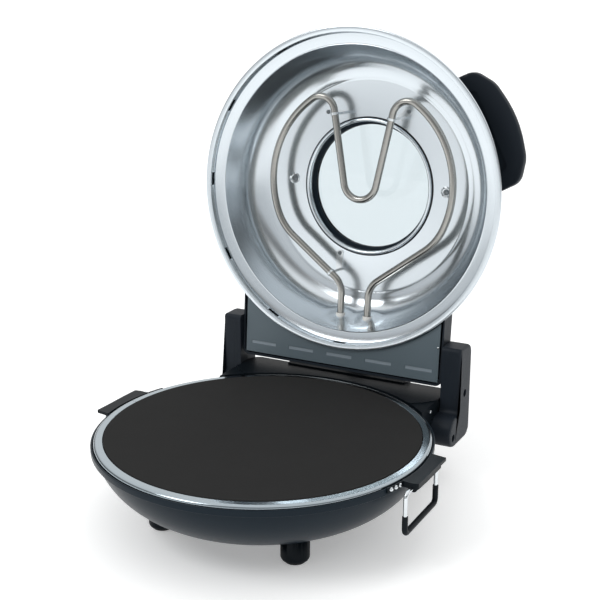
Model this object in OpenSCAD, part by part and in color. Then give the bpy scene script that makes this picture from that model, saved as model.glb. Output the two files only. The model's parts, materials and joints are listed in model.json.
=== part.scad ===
// Electric pizza maker: a baking stone in a round base, under a domed lid on two hinge arms.
// The lid is drawn closed and then swung open. Millimetres, +Z up, hinge to the back (+Y).

/* [Stone and base] */
// Diameter of the baking stone
stone_d = 305; // [300:1:310]
// Thickness of the baking stone
stone_t = 12; // [10:1:14]
// Height of the stone's top face above the table
stone_z = 87.3; // [80:0.1:95]
// Outer radius of the base's rolled rim
rim_r = 164.5; // [163:0.5:167]
// Radius of the base bowl's flat floor
floor_r = 95; // [80:1:100]
// Radius of a foot
foot_r = 13.5; // [10:0.5:16]
// Sideways distance of the front feet from the middle
foot_x = 71.5; // [60:0.5:80]
// Distance of the front feet in front of the stone's centre
foot_y = 70; // [60:1:75]
// Sideways distance of the rear feet from the middle
rear_foot_x = 88; // [80:1:92]
// Distance of the rear feet behind the stone's centre
rear_foot_y = 128; // [124:1:140]

/* [Lid] */
// Outer radius of the lid's hem
lid_r = 169.2; // [168:0.1:171]
// Depth from the hem to the flat roof of the cooking space
dome_h = 60; // [56:1:62]
// Radius of the flat roof of the cooking space
roof_r = 118; // [110:1:120]
// Radius of the window's inner bead
window_r = 73; // [60:1:76]
// How far the lid is swung open
open_angle = 94.5; // [60:0.5:94.5]
// Gap between the closed lid's hem and the stone's top level
lid_gap = 2.1; // [1.5:0.1:4]

/* [Heating elements] */
// Diameter of the element tube
tube_d = 7.6; // [6:0.1:8.5]
// Height of the upper element above the lid's hem
element_h = 38; // [34:1:44]
// Radius of the upper element's big bows
bow_r = 105; // [95:1:105]
// Radius of the lower element
low_r = 104; // [95:1:108]

/* [Hinge] */
// Distance of the lid's pivot behind the stone's centre
pivot_y = 180.5; // [178:0.5:183]
// Height of the lid's pivot above the lid's hem
pivot_h = 18.2; // [17:0.1:20]
// Radius of the lid's pivot pins
pin_r = 5; // [4:0.5:5]
// Inner face of each hinge arm
arm_x = 119; // [119:0.5:121]
// Width of each hinge arm
arm_w = 21.3; // [18:0.1:24]

/* [Carrying bails] */
// Diameter of the bail's wire
wire_d = 3.8; // [3:0.1:4]
// Sideways distance of the bail's pivot from the middle
bail_x = 170; // [169:0.5:171]
// Drop of a hanging bail
bail_drop = 38; // [30:1:42]

/* [Hidden] */
$fn = 96;

// Distance of the stone's axis in front of the part's origin
plate_y = -47.29;
stone_r = stone_d / 2;
tube_r = tube_d / 2;
wire_r = wire_d / 2;
sheet = 0.9;
ring_r = stone_r + 0.5;
ledge_r = stone_r - 6;
seat_r = rim_r - 1.8;
neck_r = rim_r - 3.9;
pad_t = 2;
housing_x = 118;
housing_back = 190;
housing_top = -1;
housing_low = -46;
barrel_y = 152;
barrel_z = -31.5;
barrel_r = 16;
arm_split = arm_x + 8;
arm_out = arm_x + arm_w;
box_low = 3.5;
box_top = 28;
box_back = 192.3;
box_wall = 2.5;
panel_t = 1.5;
panel_x = 114;
slot_gap = 46;
hump_x = 46;
knuckle_x = 70;
knuckle_r = 13.2;
sweep_r = 19.5;
knob_r = 14;
shaft_r = 3;
knob_y = 167.5;
knob_z = 39.3;
knob_tilt = 36.4;
bushing_r = 6.4;
lens_x = 82;
shell_top = 70;
glass_t = 4;
handle_turn = 27.3;
handle_low = 40;
handle_t = 11;
handle_screw_turn = 16.5;
bracket_top = -2.5;
bracket_low = -8;
bracket_out = 177;
ear_r = 4.6;
bail_z = -8;
upper_turn = 53;
low_turn = 57;
turn_r = 24;
terminal_x = 16;

// Points of an arc from angle a0 to a1 about c
function arc_points(c, r, a0, a1, n) =
    [for (i = [0:n]) c + r * [cos(a0 + (a1 - a0) * i / n), sin(a0 + (a1 - a0) * i / n)]];

// Points of a cubic curve without its first point
function curve(a, b, c, d, n) =
    [for (i = [1:n]) let (t = i / n, s = 1 - t)
        s * s * s * a + 3 * s * s * t * b + 3 * s * t * t * c + t * t * t * d];

function unit(v) = v / norm(v);
function flat(v) = [v[0], v[1]];
function short_turn(a) = a > 180 ? a - 360 : a < -180 ? a + 360 : a;

// One rounded corner p between its neighbours a and b
function corner(p, a, b, r, n) = r == 0 ? [p] :
    let (ua = unit(a - p), ub = unit(b - p), half = acos(ua * ub) / 2,
        c = p + unit(ua + ub) * r / sin(half),
        s = p + ua * r / tan(half) - c, e = p + ub * r / tan(half) - c,
        a0 = atan2(s[1], s[0]), turn = short_turn(atan2(e[1], e[0]) - a0))
    [for (i = [0:n]) c + r * [cos(a0 + turn * i / n), sin(a0 + turn * i / n)]];

// Outline through corners given as [x, y, radius]
function rounded(pts, n = 6) = let (k = len(pts)) [for (i = [0:k - 1])
    each corner(flat(pts[i]), flat(pts[(i + k - 1) % k]), flat(pts[(i + 1) % k]), pts[i][2], n)];

// Closed outline moved outwards by d, with its points kept in step
function grown(pts, d) = let (k = len(pts)) [for (i = [0:k - 1])
    let (t = unit(pts[(i + 1) % k] - pts[(i + k - 1) % k])) pts[i] + d * [t[1], -t[0]]];

// Open path moved sideways by d, to its left
function beside(pts, d) = let (k = len(pts)) [for (i = [0:k - 1])
    let (t = unit(pts[min(i + 1, k - 1)] - pts[max(i - 1, 0)])) pts[i] + d * [-t[1], t[0]]];

function reversed(v) = [for (i = [len(v) - 1:-1:0]) v[i]];

// Section of a pressed sheet: a path and the same path moved by its thickness
function pressed(path, t) = concat(path, reversed(beside(path, t)));

module turned(profile) rotate_extrude() polygon(profile);

// Solid through outlines of equal count, each at its own height
module lofted(outlines, heights) {
    k = len(outlines[0]);
    m = len(outlines);
    points = [for (j = [0:m - 1]) for (p = outlines[j]) [p[0], p[1], heights[j]]];
    low = [for (i = [0:k - 1]) i];
    high = [for (i = [k - 1:-1:0]) (m - 1) * k + i];
    sides = [for (j = [0:m - 2]) for (i = [0:k - 1])
        let (a = j * k + i, b = j * k + (i + 1) % k) each [[a, a + k, b + k], [a, b + k, b]]];
    polyhedron(points, concat([low, high], sides));
}

// Plate with rounded top edges
module rounded_plate(outline, z0, z1, edge)
    lofted([outline, outline, grown(outline, -edge * 0.3), grown(outline, -edge)],
        [z0, z1 - edge, z1 - edge * 0.3, z1]);

// Bent round bar: steps are [length] for a straight and [radius, angle] for a bow
module bent_bar(steps, r, i = 0) {
    if (i < len(steps)) {
        if (len(steps[i]) == 1) {
            rotate([0, 90, 0]) cylinder(r = r, h = steps[i][0]);
            translate([steps[i][0], 0, 0]) bent_bar(steps, r, i + 1);
        } else {
            bow = steps[i][0];
            turn = steps[i][1];
            side = turn > 0 ? 1 : -1;
            translate([0, side * bow, 0]) rotate([0, 0, min(-side * 90, -side * 90 + turn)])
                rotate_extrude(angle = abs(turn)) translate([bow, 0]) circle(r = r);
            translate([0, side * bow, 0]) rotate([0, 0, turn]) translate([0, -side * bow, 0])
                bent_bar(steps, r, i + 1);
        }
    }
}

// Angle of a chord that leaves its arc by 0.15
function chord_turn(bow) = 2 * acos(1 - 0.15 / bow);

// Stations [x, y, heading] along the same kind of steps, closer together on a small bow
function stations(steps, p = [0, 0], h = 0, i = 0) = i == len(steps) ? [] :
    len(steps[i]) == 1
    ? let (q = p + steps[i][0] * [cos(h), sin(h)])
        concat([[q[0], q[1], h]], stations(steps, q, h, i + 1))
    : let (bow = steps[i][0], turn = steps[i][1], side = sign(turn), n = ceil(abs(turn) / chord_turn(bow)),
        c = p + side * bow * [-sin(h), cos(h)],
        bend = [for (j = [1:n]) let (g = h + turn * j / n, q = c - side * bow * [-sin(g), cos(g)])
            [q[0], q[1], g]])
        concat(bend, stations(steps, flat(bend[n - 1]), h + turn, i + 1));

// Smooth tube for a long bar with many bows
module swept_bar(steps, r, sides = 12) {
    rings = concat([[0, 0, 0]], stations(steps));
    m = len(rings);
    points = [for (s = rings) for (k = [0:sides - 1]) let (a = 360 * (k + 0.5) / sides)
        [s[0] - r * cos(a) * sin(s[2]), s[1] + r * cos(a) * cos(s[2]), r * sin(a)]];
    skin = [for (j = [0:m - 2]) for (k = [0:sides - 1])
        let (a = j * sides + k, b = j * sides + (k + 1) % sides)
        each [[a, a + sides, b + sides], [a, b + sides, b]]];
    polyhedron(points, concat([[for (k = [0:sides - 1]) k]],
        [[for (k = [sides - 1:-1:0]) (m - 1) * sides + k]], skin));
}

// The stone's centre is the base's own origin
module placed() translate([0, plate_y, stone_z]) children();

// Swings a closed lid piece open about the pivot
module on_lid() placed()
    translate([0, pivot_y, pivot_h + lid_gap]) rotate([-open_angle, 0, 0])
    translate([0, -pivot_y, -pivot_h]) children();

module both_sides() {
    children();
    mirror([1, 0, 0]) children();
}

module half_turn(side) rotate([0, 0, side > 0 ? 0 : 180]) children();

// Base bowl

bowl_side = curve([neck_r, -11.6], [neck_r - 8.5, -40], [neck_r - 32, -61], [floor_r, -67.5], 14);
bowl_outer = concat([[seat_r - 0.2, -4.4], [seat_r + 0.3, -3.9], [rim_r - 0.5, -3.9], [rim_r, -4.4],
    [rim_r, -9.4], [rim_r - 0.5, -10], [neck_r + 0.5, -10.5], [neck_r, -11.6]], bowl_side);
bowl_inner = beside(concat([[neck_r, -11.6]], bowl_side), -1.2);

module bowl_envelope() turned(concat([[0, 2]], [[rim_r, 2]], [[rim_r, -9.4],
    [rim_r - 0.5, -10], [neck_r + 0.5, -10.5], [neck_r, -11.6]], bowl_side, [[0, -67.5]]));

module base_bowl() placed() color("#2e3a42") difference() {
    turned(concat(bowl_outer, [[0, -67.5], [0, -66.3]], reversed(bowl_inner),
        [[neck_r - 1.2, -9], [seat_r - 0.2, -9]]));
    both_sides() translate([foot_x, -foot_y, -75]) cylinder(r = 2.1, h = 20);
    both_sides() translate([terminal_x, 130, -28]) rotate([-90, 0, 0])
        cylinder(r = tube_r + 0.6, h = 40);
}

ring_skirt = seat_r - 0.7;

module stone_ring() placed() color("#b4bec4") difference() {
    turned(concat([[ledge_r, -stone_t], [ring_r, -stone_t], [ring_r, -sheet]],
        arc_points([ring_skirt - 3.4, -sheet - 3.4], 3.4, 90, 0, 5),
        [[ring_skirt, -9], [ring_skirt - sheet, -9]],
        arc_points([ring_skirt - 3.4, -sheet - 3.4], 3.4 - sheet, 0, 90, 5),
        [[ring_r + sheet, -2 * sheet], [ring_r + sheet, -stone_t - sheet],
        [ledge_r, -stone_t - sheet]]));
    rotate([0, 0, 177]) translate([ledge_r - 5, 0, -15]) cube([25, 0.5, 16]);
}

module pizza_stone() placed() color("#303030")
    turned([[0, -stone_t], [stone_r - 1, -stone_t], [stone_r, 1 - stone_t], [stone_r, -1],
        [stone_r - 0.3, -0.3], [stone_r - 1, 0], [0, 0]]);

pan_t = 0.7;
pan_rim = -stone_t - sheet - pan_t;
pan_path = concat([[ring_r, pan_rim], [stone_r - 3, pan_rim]],
    curve([stone_r - 3, pan_rim], [stone_r - 4, -30], [stone_r - 14, -47], [115, -48], 10),
    [[0, -48]]);

module base_reflector() placed() color("#c9ced2") difference() {
    turned(concat(reversed(pan_path), beside(pan_path, -pan_t)));
    both_sides() translate([terminal_x, 130, -28]) rotate([-90, 0, 0])
        cylinder(r = tube_r + 0.2, h = 30);
}

low_start = 159;
low_foot = [-low_r * cos(low_turn), low_r * sin(low_turn)];
low_run = (-low_foot[0] - terminal_x - turn_r * (1 - cos(low_turn))) / sin(low_turn);
low_bend_y = low_foot[1] + low_run * cos(low_turn) + turn_r * sin(low_turn);

module lower_heating_element() placed() color("#7d7a76")
    translate([-terminal_x, low_start, -28]) rotate([0, 0, -90])
    swept_bar([[low_start - low_bend_y], [turn_r, -low_turn], [low_run],
        [low_r, 180 + 2 * low_turn], [low_run], [turn_r, -low_turn],
        [low_start - low_bend_y]], tube_r);

module lower_element_clips() placed() color("#b9bec2")
    for (a = [-150, -30]) rotate([0, 0, a]) translate([low_r, 0, -28]) difference() {
        union() {
            rotate([90, 0, 0]) translate([0, 0, -3]) cylinder(r = tube_r + 1, h = 6);
            translate([-1, -3, -19.3]) cube([2, 6, 19.3]);
        }
        rotate([90, 0, 0]) translate([0, 0, -4]) cylinder(r = tube_r + 0.15, h = 8);
    }

// Feet

module foot(x, y, top) placed() color("#15181b") difference() {
    translate([x, y, 0]) turned([[0, -stone_z + pad_t], [foot_r - 3, -stone_z + pad_t],
        [foot_r - 1, -stone_z + pad_t + 0.8], [foot_r, -stone_z + pad_t + 3], [foot_r, top],
        [0, top]]);
    bowl_envelope();
    translate([x, y, top - 16]) cylinder(r = 1.6, h = 17);
}

module front_left_foot() foot(-foot_x, -foot_y, -60);
module front_right_foot() foot(foot_x, -foot_y, -60);
module rear_left_foot() foot(-rear_foot_x, rear_foot_y, housing_low);
module rear_right_foot() foot(rear_foot_x, rear_foot_y, housing_low);

module foot_pads() placed() color("#0c0d0e") both_sides()
    for (p = [[foot_x, -foot_y], [rear_foot_x, rear_foot_y]])
        translate([p[0], p[1], -stone_z]) turned([[0, 0], [foot_r - 4, 0], [foot_r - 3.4, 0.6],
            [foot_r - 3.4, pad_t], [0, pad_t]]);

module pan_screw(head_r, head_h, shank_r, shank_h) {
    turned([[0, -shank_h], [shank_r, -shank_h], [shank_r, 0], [head_r, 0], [head_r, head_h * 0.5],
        [head_r * 0.7, head_h], [0, head_h]]);
}

module foot_screws() placed() color("#a9adb0") both_sides() {
    translate([foot_x, -foot_y, -63.9]) pan_screw(4, 2.4, 1.6, 10);
    translate([rear_foot_x, rear_foot_y, housing_low + 2.5]) pan_screw(4, 2.4, 1.6, 9);
}

// Rear housing between the arms

housing_plan = rounded([[-housing_x, 90, 0], [housing_x, 90, 0],
    [housing_x, housing_back, 12], [-housing_x, housing_back, 12]]);

module rear_housing() placed() color("#1f2429") difference() {
    union() {
        translate([0, 0, housing_low]) linear_extrude(housing_top - housing_low)
            polygon(housing_plan);
        both_sides() translate([100, barrel_y, barrel_z]) rotate([0, 90, 0])
            cylinder(r = barrel_r, h = arm_x - 100);
        // Raised cover of the wiring behind the lid's knuckle
        translate([-knuckle_x, 0, 0]) upright() linear_extrude(2 * knuckle_x)
            polygon(rounded([[housing_back - 8, -40, 0], [housing_back + 5, -40, 8],
                [housing_back + 11, -20, 8], [housing_back + 11, 5, 4],
                [housing_back - 8, 5, 0]], 4));
        both_sides() for (i = [0:4]) translate([92 + 5 * i, 130 + 4 * i, housing_top])
            rotate([0, 0, -38]) translate([0, -9, 0]) cube([1.4, 18, 0.7]);
    }
    bowl_envelope();
    // Hollow for the wiring, open to the bowl and the cover
    translate([0, 0, housing_low - 1]) linear_extrude(housing_top - housing_low - 9)
        difference() {
            polygon(grown(housing_plan, -3));
            both_sides() translate([96, 80]) square([30, 90]);
        }
    // Cradle for the lid's knuckle
    translate([-knuckle_x - 1, pivot_y, pivot_h + lid_gap]) rotate([0, 90, 0])
        cylinder(r = sweep_r, h = 2 * knuckle_x + 2);
    both_sides() translate([90, barrel_y, barrel_z]) rotate([0, 90, 0])
        cylinder(r = 3.1, h = 40);
    for (i = [-4:4]) translate([i * 9 - 1.6, housing_back - 10, -34]) cube([3.2, 30, 16]);
    translate([gland_x, housing_back - 12, -26]) rotate([-90, 0, 0]) cylinder(r = 8, h = 30);
}

module housing_cover() placed() color("#262b30") difference() {
    translate([0, 0, housing_low]) linear_extrude(2.5) difference() {
        polygon(grown(housing_plan, -3.2));
        both_sides() translate([95.8, 80]) square([30, 90]);
    }
    both_sides() translate([rear_foot_x, rear_foot_y, housing_low - 1]) cylinder(r = 1.7, h = 5);
    bowl_envelope();
}

module terminal_block() placed() color("#e6e2d8") translate([-28, 160, housing_low + 2.5])
    difference() {
        cube([56, 18, 14]);
        for (i = [0:3]) translate([8 + 13.3 * i, 9, 6]) cylinder(r = 3.4, h = 10);
        for (i = [0:2]) translate([13.6 + 13.3 * i, -1, 8]) cube([2, 20, 8]);
    }

gland_y = housing_back - 3;
gland_x = 86;

module cord_gland() placed() color("#101214") translate([gland_x, gland_y, -26]) rotate([-90, 0, 0])
    turned([[4.2, -3], [8, -3], [8, 3], [11, 3], [11, 5], [9, 7], [6.5, 9], [4.2, 9]]);

// Side brackets and carrying bails

bracket_plan = rounded([[150, -36, 0], [168.5, -39.5, 1.5], [176.3, -38.5, 2],
    [bracket_out, -18, 30], [bracket_out, 10, 30], [bracket_out + 0.5, 26, 0.8], [163, 28.5, 1],
    [150, 28.5, 0]], 4);

// Bracket of the right side; the left one is the same piece turned round
module bracket() difference() {
    union() {
        translate([0, 0, bracket_low]) linear_extrude(bracket_top - bracket_low)
            polygon(bracket_plan);
        // Strap that hugs the rim and takes the rivets
        rotate([0, 0, -20.5]) rotate_extrude(angle = 12) translate([rim_r - 3, bracket_low + 0.3])
            square([4.6, bracket_top - bracket_low - 0.6]);
        // Ears that hold the wire's ends
        translate([bail_x, -36, bail_z]) rotate([-90, 0, 0]) cylinder(r = ear_r, h = 12);
        translate([bail_x, 5, bail_z]) rotate([-90, 0, 0]) cylinder(r = ear_r, h = 9);
    }
    translate([0, 0, -30]) cylinder(r = rim_r + 0.02, h = 40);
    translate([bail_x, -60, bail_z]) rotate([-90, 0, 0]) cylinder(r = wire_r + 0.05, h = 31);
    translate([bail_x, 9.5, bail_z]) rotate([-90, 0, 0]) cylinder(r = wire_r + 0.05, h = 10);
    // Room for the rear leg to swing, open to the bracket's end
    translate([bail_x - 5.5, 14, bail_z - 8]) cube([30, 20, 10.4]);
}

module right_bracket() placed() color("#23272e") bracket();
module left_bracket() placed() color("#23272e") half_turn(-1) bracket();

module rivet(r, h) turned([[0, 0], [r, 0], [r * 0.85, h * 0.6], [r * 0.5, h], [0, h]]);

module bracket_rivets() placed() color("#c6cbd0") for (side = [1, -1]) half_turn(side)
    for (a = [-14.6, -16.7, -18.8]) rotate([0, 0, a])
        translate([rim_r + 1.62, 0, (bracket_top + bracket_low) / 2]) rotate([0, 90, 0])
        rivet(2, 1.3);

bail_front = -52;
bail_rear = 20.5;
bail_bend = 5;
bail_bar = bail_rear - bail_front - 2 * bail_bend;
bail_leg = bail_drop - 2 * bail_bend;

// Wire from the front ear forwards, down, along, up and forwards into the rear ear
module bail_wire(r) translate([bail_x, -30, bail_z]) rotate([0, 90, 0]) rotate([0, 0, -90])
    bent_bar([[-30 - bail_front - bail_bend], [bail_bend, 90], [bail_leg], [bail_bend, 90],
        [bail_bar], [bail_bend, 90], [bail_leg], [bail_bend, 90], [5]], r);

module bail_grip() translate([bail_x, bail_front, bail_z - bail_drop + bail_bend + 12])
    rotate([0, 90, 0]) difference() {
        bent_bar([[12], [bail_bend, 90], [bail_bar], [bail_bend, 90], [12]], wire_r + 0.8);
        bent_bar([[12], [bail_bend, 90], [bail_bar], [bail_bend, 90], [12]], wire_r);
    }

module right_bail() placed() color("#c9ced2") bail_wire(wire_r);
module left_bail() placed() color("#c9ced2") half_turn(-1) bail_wire(wire_r);
module right_bail_sleeve() placed() color("#17191c") bail_grip();
module left_bail_sleeve() placed() color("#17191c") half_turn(-1) bail_grip();

// Hinge arms

post_front = 161.4;
post_back = 194;
post_top = 54;
barrel_top = barrel_z + barrel_r;
barrel_low = barrel_z - barrel_r;
arm_plan = concat(
    corner([post_back, barrel_low], [barrel_y, barrel_low], [post_back, post_top], 11, 6),
    corner([post_back, post_top], [post_back, barrel_low], [post_front, post_top], 10, 6),
    corner([post_front, post_top], [post_back, post_top], [post_front, barrel_top], 4, 5),
    corner([post_front, barrel_top], [post_front, post_top], [barrel_y, barrel_top], 5, 5),
    arc_points([barrel_y, barrel_z], barrel_r, 90, 270, 12));

// Turns a side outline drawn in y and z to stand across x
module upright() rotate([90, 0, 90]) children();

module arm_inner() difference() {
    translate([arm_x, 0, 0]) upright() linear_extrude(arm_split - arm_x) polygon(arm_plan);
    translate([arm_x - 1, pivot_y, pivot_h + lid_gap]) rotate([0, 90, 0])
        cylinder(r = pin_r + 0.02, h = 20);
    translate([arm_x - 1, barrel_y, barrel_z]) rotate([0, 90, 0]) cylinder(r = 3.1, h = 20);
    translate([arm_split - 4, barrel_y, barrel_z]) rotate([0, 90, 0]) cylinder(r = 6, h = 20);
    for (p = screw_pockets) translate([arm_split - 5, p[0], p[1]]) rotate([0, 90, 0])
        cylinder(r = 1.5, h = 20);
}

screw_pockets = [[176.4, 3.4], [146.5, -36]];

module arm_outer() difference() {
    upright() lofted([arm_plan, arm_plan, grown(arm_plan, -0.8), grown(arm_plan, -2.8)],
        [arm_split, arm_out - 2.8, arm_out - 0.8, arm_out]);
    // Relief inside, over the bolt head and the pin
    translate([arm_split - 1, barrel_y, barrel_z]) rotate([0, 90, 0]) cylinder(r = 6, h = 4);
    for (p = screw_pockets) {
        translate([arm_out - 5, p[0], p[1]]) rotate([0, 90, 0]) cylinder(r = 4, h = 20);
        translate([arm_split - 1, p[0], p[1]]) rotate([0, 90, 0]) cylinder(r = 1.7, h = 20);
    }
}

module right_arm() placed() color("#25292d") arm_inner();
module left_arm() placed() color("#25292d") mirror([1, 0, 0]) arm_inner();
module right_arm_cover() placed() color("#2b3034") arm_outer();
module left_arm_cover() placed() color("#2b3034") mirror([1, 0, 0]) arm_outer();

module arm_bolts() placed() color("#9a9ea2") both_sides()
    translate([arm_split - 4, barrel_y, barrel_z]) rotate([0, 90, 0])
    turned([[0, -20], [3, -20], [3, 0], [5.5, 0], [5.5, 5], [2.6, 5], [2.6, 2.5], [0, 2.5]]);

module arm_screws() placed() color("#8d9196") both_sides() for (p = screw_pockets)
    translate([arm_out - 5, p[0], p[1]]) rotate([0, 90, 0]) pan_screw(3.2, 2, 1.5, 12);

module pivot_pin() translate([100.5, pivot_y, pivot_h + lid_gap]) rotate([0, 90, 0])
    turned([[0, 0], [pin_r - 0.8, 0], [pin_r, 0.8], [pin_r, arm_split - 100.6],
        [0, arm_split - 100.6]]);

module right_pivot_pin() placed() color("#b2b6ba") pivot_pin();
module left_pivot_pin() placed() color("#b2b6ba") mirror([1, 0, 0]) pivot_pin();

// Lid, drawn closed with its hem at z = 0

shell_side = concat([[lid_r - 0.9, 2.4]],
    curve([lid_r - 0.9, 2.4], [158, 26], [146, 66], [108, shell_top], 14));
shell_hole = window_r - 6;

module lid_envelope() turned(concat([[0, -1], [lid_r - 0.9, -1]], shell_side, [[0, shell_top]]));

module lid_shell() on_lid() color("#2b3238") difference() {
    turned(concat(shell_side, [[shell_hole, shell_top], [shell_hole, shell_top - 1]],
        reversed(beside(shell_side, 1))));
    both_sides() translate([terminal_x, 100, element_h]) rotate([-90, 0, 0])
        cylinder(r = tube_r + 0.4, h = 80);
    for (side = [1, -1]) handle_screw_axes(side) translate([0, 0, -16]) cylinder(r = 1.8, h = 30);
}

hem_path = concat(arc_points([lid_r - 1.5, 1.5], 1.5, 40, -90, 5),
    [[163.8, 0.2], [162.8, 1.2], [162.2, 7.4], [160.8, 8.6], [152.2, 11.6], [150.8, 11.2]]);
dome_path = concat(curve([150.8, 11.2], [146, 34], [141, 53], [roof_r + 3, dome_h - 1.6], 12),
    [[roof_r, dome_h - 1.2], [roof_r - 2, dome_h], [window_r - 1.5, dome_h]]);

module lid_reflector() on_lid() color("#d0d8dc") difference() {
    turned(pressed(concat(hem_path, dome_path), -sheet));
    for (i = [0:11]) rotate([0, 0, 30 * i]) translate([158, -7, 3]) cube([8, 14, 2]);
    both_sides() translate([terminal_x, 100, element_h]) rotate([-90, 0, 0])
        cylinder(r = bushing_r + 0.05, h = 50);
    both_sides() translate([90, -2.2, dome_h - 5]) cylinder(r = 2.2, h = 10);
}

module window_ring() on_lid() color("#c4ccd0")
    turned(concat([[window_r - 2.8, shell_top - 1], [window_r - 2.8, dome_h - 0.6]],
        arc_points([window_r - 0.8, dome_h - 0.6], 2, 180, 360, 6),
        [[window_r + 1.2, dome_h], [window_r - 1.9, dome_h], [window_r - 1.9, shell_top - 1]]));

module window_gasket() on_lid() color("#0e0f10")
    turned([[window_r + 1.2, dome_h - 0.5], [window_r + 2.6, dome_h - 0.5],
        [window_r + 2.6, dome_h], [window_r + 1.2, dome_h]]);

module window_glass() on_lid() color("#dce6ea", 0.4)
    turned([[0, shell_top], [window_r - 1.6, shell_top], [window_r - 1, shell_top + 0.6],
        [window_r - 1, shell_top + glass_t - 0.6], [window_r - 1.6, shell_top + glass_t],
        [0, shell_top + glass_t]]);

module window_bezel() on_lid() color("#1a1d20")
    turned([[window_r - 0.9, shell_top], [window_r + 9, shell_top], [window_r + 11, shell_top + 1],
        [window_r + 10, shell_top + 4], [window_r + 6, shell_top + 6.6],
        [window_r - 2, shell_top + 7], [window_r - 6, shell_top + 6], [window_r - 6.6, shell_top + 5],
        [window_r - 6, shell_top + glass_t], [window_r - 0.9, shell_top + glass_t]]);

// Upper element: out of the back wall, round two bows and down a narrow loop

bow_y = -6;
bow_end = 235;
shoulder_end = 158;
shoulder_r = 60;
loop_r = 17;
leg_turn = 79;
tip_r = 19;
upper_start = 153.5;
bow_start = 180 - upper_turn;
bow_foot = [0, bow_y] + (bow_r - shoulder_r) * [cos(shoulder_end), sin(shoulder_end)]
    + shoulder_r * [cos(bow_start), sin(bow_start)];
upper_run = (-bow_foot[0] - terminal_x - turn_r * (1 - cos(upper_turn))) / sin(upper_turn);
upper_bend_y = bow_foot[1] + upper_run * cos(upper_turn) + turn_r * sin(upper_turn);
loop_x = (bow_r - loop_r) * cos(bow_end);
loop_leg_x = loop_x + loop_r * sin(leg_turn);
loop_leg = (-loop_leg_x - tip_r * sin(leg_turn)) / cos(leg_turn);

module upper_heating_element() on_lid() color("#8f8b86")
    translate([-terminal_x, upper_start, element_h]) rotate([0, 0, -90])
    swept_bar([[upper_start - upper_bend_y], [turn_r, -upper_turn], [upper_run],
        [shoulder_r, shoulder_end - bow_start], [bow_r, bow_end - shoulder_end],
        [loop_r, leg_turn + 270 - bow_end], [loop_leg],
        [tip_r, -2 * leg_turn],
        [loop_leg], [loop_r, leg_turn + 270 - bow_end],
        [bow_r, bow_end - shoulder_end], [shoulder_r, shoulder_end - bow_start],
        [upper_run], [turn_r, -upper_turn], [upper_start - upper_bend_y]], tube_r);

// Clip: an eye round the tube and a strap up to a riveted foot
module element_clip(x, y, along, foot_turn, foot, wide) translate([x, y, 0]) {
    difference() {
        union() {
            translate([0, 0, element_h]) rotate([0, 90, along]) translate([0, 0, -3])
                cylinder(r = tube_r + 0.9, h = 6);
            rotate([0, 0, along]) translate([-3, -0.5, element_h])
                cube([6, 1, dome_h - element_h - 0.01]);
        }
        translate([0, 0, element_h]) rotate([0, 90, along]) translate([0, 0, -4])
            cylinder(r = tube_r + 0.05, h = 8);
    }
    rotate([0, 0, foot_turn]) {
        translate([-1, -wide / 2, dome_h - 0.91]) cube([foot + 4, wide, 0.9]);
        translate([foot, 0, dome_h - 0.9]) mirror([0, 0, 1]) rivet(wide / 4, 1.4);
    }
}

// Point of the loop's left leg, so far along it
function leg_point(along) = [loop_leg_x + along * cos(leg_turn),
    bow_y + (bow_r - loop_r) * sin(bow_end) - loop_r * cos(leg_turn) + along * sin(leg_turn)];

left_clip = leg_point(4);
right_clip = leg_point(6);
run_clip = bow_foot + 60 * [sin(upper_turn), cos(upper_turn)];

module upper_element_clips() on_lid() color("#c2c8cc") {
    element_clip(left_clip[0], left_clip[1], leg_turn, 180, 18, 4);
    element_clip(-right_clip[0], right_clip[1], 180 - leg_turn, -38, 13, 7);
    element_clip(run_clip[0], run_clip[1], 90 - upper_turn, -90, 19, 8);
}

module element_bushings() on_lid() color("#e9e7e0") both_sides()
    translate([terminal_x, 133.4, element_h]) rotate([-90, 0, 0])
        turned([[tube_r + 0.01, 0], [bushing_r, 0], [bushing_r, 12.4], [tube_r + 0.01, 12.4]]);

module reflector_screws() on_lid() color("#c9ced2") both_sides()
    translate([90, -2.2, dome_h]) {
        mirror([0, 0, 1]) turned([[2.01, 0], [5.5, 0], [5.5, 0.8], [2.01, 0.8]]);
        translate([0, 0, -0.8]) mirror([0, 0, 1]) pan_screw(3.2, 2, 2, 0.8);
        cylinder(r = 2, h = shell_top - dome_h - 1);
        translate([0, 0, sheet]) turned([[2.01, 0], [4, 0], [4, shell_top - dome_h - 1 - sheet],
            [2.01, shell_top - dome_h - 1 - sheet]]);
    }

// Rear box of the lid

box_plan = rounded([[-housing_x, 92, 0], [housing_x, 92, 0], [housing_x, box_back, 7],
    [-housing_x, box_back, 7]]);
hump_side = rounded([[100, 20, 0], [184, 20, 0], [183.5, box_top - 1, 3], [156, 47.3, 9],
    [100, 50, 0]], 5);

module knob_axis() translate([0, knob_y, knob_z]) rotate([-knob_tilt, 0, 0]) children();

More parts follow.
